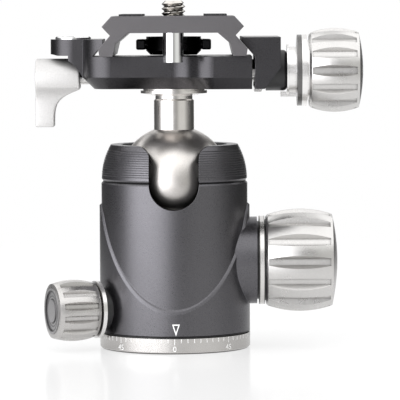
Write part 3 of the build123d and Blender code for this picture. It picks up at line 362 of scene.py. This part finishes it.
# painted reflection: the turned cone of the slip ring is coloured dark for the dark jaw and sleeve that it
# mirrors
slip_ring_painted_reflection = turned("slip_ring_painted_reflection", (0.16, 0.157, 0.155), 0.25, CLAMP_CENTRE, RIGHT)
clothe(slip_ring_painted_reflection, "clamp_slip_ring")

black_nylon = plastic("black_nylon", (0.02, 0.02, 0.021), 0.4)
clothe(black_nylon, "lock_seal_ring", "lock_slip_ring", "pan_bearing", "pan_bush")
clothe(black_nylon, "clamp_sleeve", "upper_ball_seat")
white_nylon = plastic("white_nylon", (0.8, 0.79, 0.75), 0.45)
clothe(white_nylon, "cup_liner")

# rubber pads with square cells
PAD_CELL = 0.6
rubber = plastic("rubber", (0.035, 0.035, 0.037), 0.75, grain=4.0, depth=0.03)
pad_x, pad_y = rubber.parts()[:2]
pad_across = rubber.maths("PINGPONG", pad_x, PAD_CELL)
pad_along = rubber.maths("PINGPONG", pad_y, PAD_CELL)
rubber.bump(rubber.maths("MULTIPLY", pad_across, pad_along), depth=0.4)
clothe(rubber, "plate_pads")

# the pan knob's cap has plain dark rings: radius, half width
CAP_RINGS = ((3.2, 0.16), (4.0, 0.12), (5.3, 0.16))
cap = Shade("cap_grey", (0.42, 0.42, 0.43), 1.0, 0.38)
cap_radius = cap.about(PAN_CENTRE, PAN_OUT)[1]
cap_grain = cap.noise(scale=3.0, detail=3.0)
cap.vary_colour(cap.spread(cap_grain, 0.0, 1.0), (0.38, 0.375, 0.38), (0.46, 0.455, 0.46))
for line_radius, line_half in CAP_RINGS:
    cap.darken(cap.maths("COMPARE", cap_radius, line_radius, line_half), 0.75)
cap.bump(cap_grain, depth=0.012)
clothe(cap, "pan_knob_cap")

glass = Shade("level_fluid", (0.78, 0.92, 0.42), 0.0, 0.03)
glass.set("Transmission Weight", 0.85)
glass.set("IOR", 1.4)
glass.bump(glass.noise(scale=0.6, detail=1.0), depth=0.002)
clothe(glass, "level_glass")


# ---------------------------------------------------------------- mesh helpers
def piece(name, mesh, shade, body, smooth=False):
    """A new object from a mesh in the row frame, riding on a body."""
    made = bpy.data.objects.new(name, mesh)
    bpy.context.scene.collection.objects.link(made)
    made.data.materials.clear()
    made.data.materials.append(shade.material)
    if smooth:
        mesh.polygons.foreach_set("use_smooth", [True] * len(mesh.polygons))
    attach(made, body)
    return made


def mesh_from(built, name):
    """Mesh from a bmesh, which is freed."""
    mesh = bpy.data.meshes.new(name)
    built.to_mesh(mesh)
    built.free()
    return mesh


def final_mesh(thing):
    """Mesh of an object as it shows, with its modifiers applied."""
    bpy.context.view_layer.update()
    depsgraph = bpy.context.evaluated_depsgraph_get()
    return bpy.data.meshes.new_from_object(thing.evaluated_get(depsgraph))


def grid_mesh(name, rows):
    """Closed mesh through rows of points: a ring of faces between rows, a cap at both ends."""
    built = bmesh.new()
    lines = [[built.verts.new(p) for p in row] for row in rows]
    count = len(rows[0])
    for low, high in zip(lines, lines[1:]):
        for i in range(count):
            j = (i + 1) % count
            built.faces.new((low[i], low[j], high[j], high[i]))
    built.faces.new(list(reversed(lines[0])))
    built.faces.new(lines[-1])
    return mesh_from(built, name)


def on_drum(radius, angle, height):
    """Point on a drum about Z: angle 0 faces -Y and grows towards +X."""
    return Vector((radius * math.sin(angle), -radius * math.cos(angle), height))


def drum_patch(built, radius, outline, thickness):
    """Thin raised patch on a drum from an outline of (angle, height) corners."""
    outer = [built.verts.new(on_drum(radius + thickness, a, z)) for a, z in outline]
    inner = [built.verts.new(on_drum(radius - thickness, a, z)) for a, z in outline]
    built.faces.new(outer)
    built.faces.new(list(reversed(inner)))
    for i in range(len(outline)):
        j = (i + 1) % len(outline)
        built.faces.new((outer[j], outer[i], inner[i], inner[j]))


# ---------------------------------------------------------------- marks on the base ring
MARK_PROUD = 0.03 * MM
RING_RADIUS = 20.0 * MM
RING_TOP = 3.98 * MM
TICK_COUNT = 72
TICKS_PER_NUMBER = 9
TICK_LENGTH = 1.0 * MM
NUMBER_TICK_LENGTH = 1.5 * MM
TICK_HALF = 0.085 * MM / RING_RADIUS
NUMBER_FOOT = 0.68 * MM
NUMBER_SIZE = 2.1 * MM
# the numbers count up to 180 both ways from the front
RING_NUMBERS = ("0", "45", "90", "135", "180", "135", "90", "45")
mark_white = plastic("mark_white", (0.96, 0.96, 0.95), 0.4, grain=4.0, depth=0.004)


def ring_ticks():
    """Graduations all round the ring, longer at the numbers."""
    built = bmesh.new()
    for step in range(TICK_COUNT):
        angle = math.radians(360 / TICK_COUNT * step)
        length = NUMBER_TICK_LENGTH if step % TICKS_PER_NUMBER == 0 else TICK_LENGTH
        corners = [
            (angle - TICK_HALF, RING_TOP - length),
            (angle + TICK_HALF, RING_TOP - length),
            (angle + TICK_HALF, RING_TOP),
            (angle - TICK_HALF, RING_TOP),
        ]
        drum_patch(built, RING_RADIUS, corners, MARK_PROUD)
    return mesh_from(built, "ring_ticks")


def drum_text(name, words, angle, height, size, radius):
    """Generic numerals wrapped on a drum, centred on an angle."""
    curve = bpy.data.curves.new(name + "_curve", "FONT")
    curve.body = words
    curve.size = size
    curve.align_x = "CENTER"
    curve.align_y = "BOTTOM_BASELINE"
    curve.extrude = MARK_PROUD
    curve.resolution_u = 3
    holder = bpy.data.objects.new(name + "_flat", curve)
    bpy.context.scene.collection.objects.link(holder)
    mesh = final_mesh(holder)
    bpy.data.objects.remove(holder)
    bpy.data.curves.remove(curve)
    mesh.name = name
    for vertex in mesh.vertices:
        x, y, z = vertex.co
        vertex.co = on_drum(radius + z, angle + x / radius, height + y)
    return mesh


piece("ring_ticks", ring_ticks(), mark_white, "base")
for place, words in enumerate(RING_NUMBERS):
    turn = 360 // len(RING_NUMBERS) * place
    name = f"ring_number_{turn}"
    mesh = drum_text(name, words, math.radians(turn), NUMBER_FOOT, NUMBER_SIZE, RING_RADIUS)
    piece(name, mesh, mark_white, "base")


# ---------------------------------------------------------------- index on the housing
HOUSING_RADIUS = 20.0 * MM
INDEX_ANGLE = math.radians(1.0)
# half width, top and tip of the triangle's outer and inner edge
INDEX_OUTER = (1.02 * MM, 7.9 * MM, 4.8 * MM)
INDEX_INNER = (0.6 * MM, 7.57 * MM, 5.75 * MM)
INDEX_STEPS = 4


def between(first, second, share):
    """Point a share of the way from one to another."""
    return tuple(a + (b - a) * share for a, b in zip(first, second))


def index_corners(half_width, top, tip):
    """Corners of a triangle that points down at the ring, as (angle, height)."""
    half = half_width / HOUSING_RADIUS
    return [(INDEX_ANGLE - half, top), (INDEX_ANGLE, tip), (INDEX_ANGLE + half, top)]


def index_mark():
    """Outlined triangle on the drum, each side in short steps that follow its curve."""
    built = bmesh.new()
    outer = index_corners(*INDEX_OUTER)
    inner = index_corners(*INDEX_INNER)
    for i in range(3):
        j = (i + 1) % 3
        for step in range(INDEX_STEPS):
            low, high = step / INDEX_STEPS, (step + 1) / INDEX_STEPS
            corners = [
                between(outer[i], outer[j], low),
                between(outer[i], outer[j], high),
                between(inner[i], inner[j], high),
                between(inner[i], inner[j], low),
            ]
            drum_patch(built, HOUSING_RADIUS, corners, MARK_PROUD)
    return mesh_from(built, "index_mark")


piece("index_mark", index_mark(), mark_white, "housing")


# ---------------------------------------------------------------- camera screw
SHANK_TOP = 88.0 * MM  # faces of the CAD node under it are kept
THREAD_CREST = 3.175 * MM
THREAD_ROOT = 2.5 * MM
THREAD_PITCH = 1.27 * MM
THREAD_BOTTOM = 88.35 * MM
THREAD_AROUND = 48
ROWS_PER_PITCH = 10
# a tooth's rise from root to crest by turn, and the flat at its root
TOOTH_RISE = 2.4
TOOTH_FLAT = 0.1
# the chamfer at the thread's end starts inside the root and opens by its slope
CHAMFER_INSET = 0.25 * MM
CHAMFER_SLOPE = 1.1


def thread_rows(bottom, top):
    """Rows of points of an outside thread about Z, chamfered at its top."""
    rows = []
    count = math.ceil((top - bottom) / THREAD_PITCH * ROWS_PER_PITCH)
    for k in range(count + 1):
        z = bottom + (top - bottom) * k / count
        limit = THREAD_ROOT - CHAMFER_INSET + (top - z) * CHAMFER_SLOPE
        row = []
        for i in range(THREAD_AROUND):
            turn = 2 * math.pi * i / THREAD_AROUND
            phase = (z / THREAD_PITCH - turn / (2 * math.pi)) % 1.0
            rise = TOOTH_RISE * (0.5 - abs(phase - 0.5)) - TOOTH_FLAT
            tooth = min(1.0, max(0.0, rise))
            radius = min(THREAD_ROOT + (THREAD_CREST - THREAD_ROOT) * tooth, limit)
            row.append((radius * math.cos(turn), radius * math.sin(turn), z))
        rows.append(row)
    return rows


def part_of(node, name, keep):
    """New mesh: the faces of a CAD node whose middle passes a test."""
    built = bmesh.new()
    built.from_mesh(NODES[node].data)
    gone = [f for f in built.faces if not keep(f.calc_center_median())]
    bmesh.ops.delete(built, geom=gone, context="FACES")
    return mesh_from(built, name)


screw_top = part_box("camera_screw")[1].z
thread_metal = turned("thread_metal", (0.60, 0.575, 0.54), 0.14, CENTRE, UP, pitch=0.2, depth=0.001)
# painted shade in the thread's grooves
thread_metal.paint_shade_in_creases(reach=1.2, amount=0.98)
head = part_of("camera_screw", "camera_screw_head", lambda p: p.z < SHANK_TOP)
head_piece = piece("camera_screw_head", head, black_steel, "camera_screw")
thread = grid_mesh("camera_screw_thread", thread_rows(THREAD_BOTTOM, screw_top))
piece("camera_screw_thread", thread, thread_metal, "camera_screw")
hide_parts("camera_screw")


# ---------------------------------------------------------------- lever
# height over the lever's axis, half thickness and right end, in millimetres
LEVER_SECTIONS = (
    (-2.4, 4.78, -24.9),
    (-2.8, 4.36, -25.1),
    (-3.2, 3.92, -25.9),
    (-3.7, 3.47, -27.1),
    (-4.3, 3.1, -28.4),
    (-5.0, 2.86, -29.5),
    (-5.8, 2.74, -30.4),
    (-6.8, 2.7, -31.1),
    (-8.0, 2.74, -31.5),
    (-9.5, 2.8, -31.7),
    (-11.5, 2.88, -31.75),
    (-12.3, 2.9, -31.75),
    (-12.6, 2.8, -31.85),
    (-12.75, 2.6, -32.05),
)
LEVER_CORNER = 0.45
CORNER_SHARE = 0.7  # of a thin section's half thickness, at most
CORNER_STEPS = 6
# the hub's sections by turn from its top, and the rounding of its left edge
HUB_SECTIONS = 28
HUB_STEP = math.radians(4.1)
HUB_ROUNDING = 0.4
BORE_RADIUS = 1.55
BORE_DEPTH = 2.5
BORE_MARGIN = 1.0  # of the cutter past the hub's face
BORE_AROUND = 36
SHARP_EDGE = math.radians(32)


def lever_row(height, half, left, right):
    """Points round a section of the lever: a rectangle with round corners."""
    corner = min(LEVER_CORNER, CORNER_SHARE * half)
    row = []
    for x, y, first in (
        (right - corner, half - corner, 0),
        (left + corner, half - corner, 90),
        (left + corner, corner - half, 180),
        (right - corner, corner - half, 270),
    ):
        for step in range(CORNER_STEPS + 1):
            turn = math.radians(first + 90 / CORNER_STEPS * step)
            point = (x + corner * math.cos(turn), y + corner * math.sin(turn), height)
            row.append(tuple(MM * value for value in point))
    return row


def lever_rows(axis_height, hub_radius, left, right):
    """Sections of the lever from its top down: a round hub, then the curved arm."""
    rows = []
    for k in range(1, HUB_SECTIONS + 1):
        over = hub_radius * math.cos(HUB_STEP * k)
        half = hub_radius * math.sin(HUB_STEP * k)
        rounding = max(0.0, over - hub_radius + HUB_ROUNDING)
        rows.append(lever_row(axis_height + over, half, left + rounding, right))
    for over, half, arm_right in LEVER_SECTIONS:
        rows.append(lever_row(axis_height + over, half, left, arm_right))
    return rows


def bore_rows(axis_height, start, end):
    """Two rings of points round a bore along X."""
    rows = []
    for x in (start, end):
        row = []
        for i in range(BORE_AROUND):
            turn = 2 * math.pi * i / BORE_AROUND
            point = (x, BORE_RADIUS * math.cos(turn), axis_height + BORE_RADIUS * math.sin(turn))
            row.append(tuple(MM * value for value in point))
        rows.append(row)
    return rows


def cut_mesh(name, rows, cutter_name, cutter_rows):
    """Mesh through rows, less the one through the cutter's rows."""
    blank = bpy.data.objects.new(name, grid_mesh(name, rows))
    cutter = bpy.data.objects.new(cutter_name, grid_mesh(cutter_name, cutter_rows))
    for made in (blank, cutter):
        bpy.context.scene.collection.objects.link(made)
    cut = blank.modifiers.new("cut", "BOOLEAN")
    cut.operation = "DIFFERENCE"
    cut.object = cutter
    cut.solver = "EXACT"
    mesh = final_mesh(blank)
    bpy.data.objects.remove(blank)
    bpy.data.objects.remove(cutter)
    return mesh


lever_low, lever_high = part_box("pan_lever")
hub_radius = lever_high.y / MM
lever_axis = lever_high.z / MM - hub_radius
lever_left = lever_low.x / MM
lever_mesh = cut_mesh(
    "lever_blank",
    lever_rows(lever_axis, hub_radius, lever_left, lever_high.x / MM),
    "lever_bore",
    bore_rows(lever_axis, lever_left - BORE_MARGIN, lever_left + BORE_DEPTH),
)
lever_mesh.polygons.foreach_set("use_smooth", [True] * len(lever_mesh.polygons))
lever_mesh.set_sharp_from_angle(angle=SHARP_EDGE)
lever_piece = piece("pan_lever_smooth", lever_mesh, lever_metal, "pan_lever")
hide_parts("pan_lever")


# ---------------------------------------------------------------- level
BUBBLE_RADIUS = 1.25 * MM
BUBBLE_HALF_HEIGHT = 0.3 * MM
BUBBLE_DEPTH = 0.45 * MM
BUBBLE_AROUND = 48
BUBBLE_RISE_STEPS = 20


def dome(name, centre, radius, height):
    """Flattened bubble about a centre."""
    x, y, z = centre
    rows = []
    for k in range(1, BUBBLE_RISE_STEPS):
        tilt = math.pi * k / BUBBLE_RISE_STEPS - math.pi / 2
        reach = radius * math.cos(tilt)
        row = []
        for i in range(BUBBLE_AROUND):
            turn = 2 * math.pi * i / BUBBLE_AROUND
            row.append((x + reach * math.cos(turn), y + reach * math.sin(turn), z + height * math.sin(tilt)))
        rows.append(row)
    return grid_mesh(name, rows)


level_low, level_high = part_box("level_glass")
level_centre = (level_low + level_high) / 2
bubble_shade = Shade("level_bubble", (0.93, 0.97, 0.85), 0.0, 0.05)
bubble_shade.bump(bubble_shade.noise(scale=1.0, detail=1.0), depth=0.001)
bubble_place = (level_centre.x, level_centre.y, level_high.z - BUBBLE_DEPTH)
bubble = dome("level_bubble", bubble_place, BUBBLE_RADIUS, BUBBLE_HALF_HEIGHT)
piece("level_bubble", bubble, bubble_shade, "clamp", smooth=True)


# ---------------------------------------------------------------- floor
FLOOR_SIZE = 0.9
FLOOR_GLOW = 0.6
# the floor fades out between these distances from the pan axis, in millimetres
FADE_START = 90.0
FADE_END = 420.0


def stage_plane(name, size, shade):
    """Level square of scenery about the origin."""
    mesh = bpy.data.meshes.new(name)
    half = size / 2
    corners = [(-half, -half, 0), (half, -half, 0), (half, half, 0), (-half, half, 0)]
    mesh.from_pydata(corners, [], [(0, 1, 2, 3)])
    made = bpy.data.objects.new(name, mesh)
    made.data.materials.append(shade.material)
    bpy.context.scene.collection.objects.link(made)


# floor that keeps the shadow, fades into the white backdrop and is clear from underneath
floor_shade = Shade("studio_floor", (0.92, 0.92, 0.92), 0.0, 0.16)
floor_shade.bump(floor_shade.noise(scale=0.05, detail=1.0), depth=0.0005)
floor_glow = floor_shade.add("ShaderNodeEmission")
glow_share = floor_shade.maths("MULTIPLY", floor_shade.seen_directly(), FLOOR_GLOW)
lit_floor = floor_shade.mix_shaders(glow_share, floor_shade.shader.outputs[0], floor_glow.outputs[0])
floor_reach = floor_shade.about(CENTRE, UP)[1]
faded = floor_shade.ramp_up(floor_reach, FADE_START, FADE_END, interpolation_type="SMOOTHSTEP")
underside = floor_shade.add("ShaderNodeNewGeometry").outputs["Backfacing"]
hidden = floor_shade.maths("MAXIMUM", faded, underside)
nothing = floor_shade.add("ShaderNodeBsdfTransparent")
floor_shade.show(floor_shade.mix_shaders(hidden, lit_floor, nothing.outputs[0]))
stage_plane("studio_floor", FLOOR_SIZE, floor_shade)


# ---------------------------------------------------------------- light
# light tent: a grey wall with a soft box in it, open behind the object
# (degrees round the horizon, level): 0 is the front (-Y), negative is the left (-X)
TENT = (
    (-165, 0.10),
    (-125, 0.12),
    (-100, 0.25),
    (-84, 0.7),
    (-72, 2.6),
    (-62, 4.0),
    (-30, 4.0),
    (-14, 3.0),
    (-3, 0.6),
    (14, 0.42),
    (32, 0.8),
    (62, 0.8),
    (78, 0.45),
    (95, 0.2),
    (118, 0.08),
    (165, 0.08),
)
TENT_STRENGTH = 4.0  # the level of a full white
TENT_RADIUS = 1.4
TENT_SIDE = 165  # degrees round to each side
TENT_FOOT, TENT_TOP = -25, 85  # degrees over the horizon
TENT_AROUND, TENT_UP = 60, 14
BLUE_LEFT, BLUE_RIGHT = 1.02, 0.97
# over the object the wall turns to one even level between these heights, in degrees
EVEN_FROM, EVEN_TO = 24, 40
EVEN_LEVEL = 0.42  # of TENT_STRENGTH


def tent_mesh():
    """Part of a sphere about the object, open at the back and overhead."""
    points, faces = [], []
    for k in range(TENT_UP + 1):
        lift = math.radians(TENT_FOOT + (TENT_TOP - TENT_FOOT) * k / TENT_UP)
        reach = TENT_RADIUS * math.cos(lift)
        for i in range(TENT_AROUND + 1):
            swing = math.radians(2 * TENT_SIDE * i / TENT_AROUND - TENT_SIDE)
            points.append(on_drum(reach, swing, TENT_RADIUS * math.sin(lift)))
    for k in range(TENT_UP):
        for i in range(TENT_AROUND):
            low = k * (TENT_AROUND + 1) + i
            high = low + TENT_AROUND + 1
            faces.append((low, high, high + 1, low + 1))
    mesh = bpy.data.meshes.new("studio_tent")
    mesh.from_pydata(points, [], faces)
    return mesh


def level_ramp(shade, turn):
    """Colour of the tent's wall by a turn round the horizon, from 0 to 1."""
    ramp = shade.add("ShaderNodeValToRGB")
    shade.link(turn, ramp.inputs[0])
    elements = ramp.color_ramp.elements
    while len(elements) > 1:
        elements.remove(elements[-1])
    for i, (degrees, level) in enumerate(TENT):
        spot = (degrees + 180) / 360
        element = elements[0] if i == 0 else elements.new(spot)
        element.position = spot
        grey = level / TENT_STRENGTH
        element.color = (grey, grey, grey * (BLUE_RIGHT if degrees > 0 else BLUE_LEFT), 1)
    return ramp.outputs[0]


def tent_light():
    """Emission by direction, with an even level over the object."""
    shade = Shade("studio_tent", (0.4, 0.4, 0.4), 0.0, 1.0)
    x, y, z = shade.parts()
    swing = shade.maths("ARCTAN2", x, shade.maths("MULTIPLY", y, -1.0))
    wall = level_ramp(shade, shade.ramp_up(swing, -math.pi, math.pi))
    even_from, even_to = (TENT_RADIUS / MM * math.sin(math.radians(a)) for a in (EVEN_FROM, EVEN_TO))
    mix = shade.add("ShaderNodeMix", data_type="RGBA")
    mix.inputs["B"].default_value = (EVEN_LEVEL, EVEN_LEVEL, EVEN_LEVEL, 1)
    over = shade.ramp_up(z, even_from, even_to, interpolation_type="SMOOTHSTEP")
    shade.link(over, mix.inputs["Factor"])
    shade.link(wall, mix.inputs["A"])
    glow = shade.add("ShaderNodeEmission")
    glow.inputs["Strength"].default_value = TENT_STRENGTH
    shade.link(mix.outputs["Result"], glow.inputs["Color"])
    shade.show(glow.outputs[0])
    return shade


tent = bpy.data.objects.new("studio_tent", tent_mesh())
bpy.context.scene.collection.objects.link(tent)
tent.visible_camera = False
tent.data.materials.append(tent_light().material)


def background(sky, colour, strength):
    made = sky.add("ShaderNodeBackground")
    made.inputs["Color"].default_value = (*colour, 1)
    made.inputs["Strength"].default_value = strength
    return made.outputs[0]


# the world lights the object evenly, and is white where it is seen itself
world = bpy.data.worlds.new("studio")
bpy.context.scene.world = world
world.use_nodes = True
world.node_tree.nodes.clear()
sky = Tree(world.node_tree)
lighting = background(sky, (0.95, 0.97, 1.0), 0.8)
backdrop = background(sky, (1, 1, 1), 1.0)
sheet = sky.add("ShaderNodeOutputWorld")
sky.link(sky.mix_shaders(sky.seen_directly(), lighting, backdrop), sheet.inputs["Surface"])


# ---------------------------------------------------------------- camera
SENSOR_WIDTH = 36.0
FOCAL_LENGTH = 283.4
DISTANCE = 0.84
PITCH = math.radians(3.55)
ROLL = math.radians(-0.3)
TARGET = Vector((6.8 * MM, 0, 39.2 * MM))

camera_data = bpy.data.cameras.new("camera")
camera_data.sensor_width = SENSOR_WIDTH
camera_data.lens = FOCAL_LENGTH
camera_data.clip_start, camera_data.clip_end = 0.05, 20.0
camera = bpy.data.objects.new("camera", camera_data)
bpy.context.scene.collection.objects.link(camera)
back = Vector((0, -math.cos(PITCH), math.sin(PITCH)))
camera.location = TARGET + DISTANCE * back
camera.rotation_mode = "QUATERNION"
camera.rotation_quaternion = (-back).to_track_quat("-Z", "Y") @ Quaternion((0, 0, 1), ROLL)
bpy.context.scene.camera = camera
bpy.context.scene.view_settings.view_transform = "Standard"
